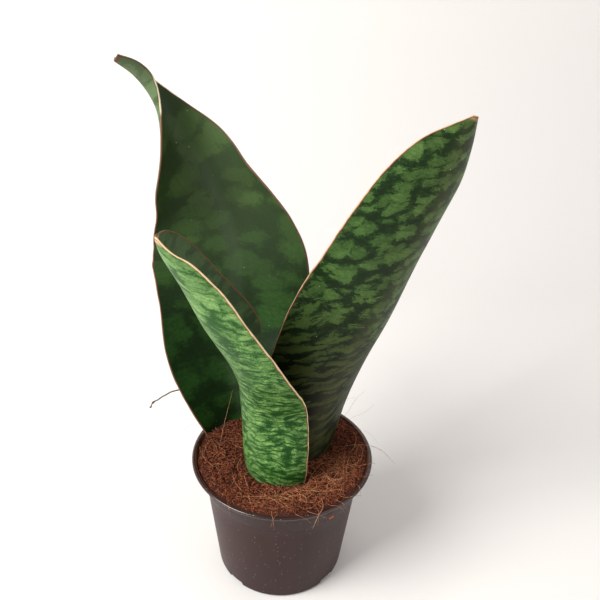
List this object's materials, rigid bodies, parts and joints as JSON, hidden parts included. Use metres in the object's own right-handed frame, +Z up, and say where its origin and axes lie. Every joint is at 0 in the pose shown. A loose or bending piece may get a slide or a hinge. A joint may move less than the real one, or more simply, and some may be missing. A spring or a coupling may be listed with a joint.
{
  "type": "potted snake plant",
  "caption": "Broad-leaved snake plant with folded upright leaves rooted in coir, in a small round nursery pot with a flared collar and a slotted foot.",
  "frame": {"origin": "on the ground where the pot's own axis meets it, at the middle of the flat centre pad under the pot", "axes": "+Z up along the pot's axis; -Y towards the viewer, where the short front leaf stands; +X to the viewer's right, where the right leaf leans"},
  "size_m": [0.2043, 0.1253, 0.3291],
  "materials": {
    "pot": "satin taupe moulded plastic",
    "coir": "loose matted reddish-brown coconut fibre",
    "leaf_dark": "waxy dark green leaf",
    "leaf_mottled": "waxy mottled green leaf",
    "leaf_bright": "waxy banded green leaf",
    "root": "matt orange-tan fleshy root",
    "stalk": "dry dark stalk",
    "fibre": "pale dry coconut fibre"
  },
  "bodies": {
    "root": {"nursery_pot": "pot", "coir_substrate": "coir", "leaf_back": "leaf_dark", "leaf_right": "leaf_mottled", "leaf_front": "leaf_bright", "rhizome": "root", "root_front": "root", "root_front_right": "root", "root_back": "root", "root_back_left": "root", "root_left": "root", "dry_stalk": "stalk", "coir_strand_upright": "fibre", "coir_strand_right": "fibre", "coir_strand_front": "fibre", "coir_chip": "coir"}
  },
  "joints": []
}
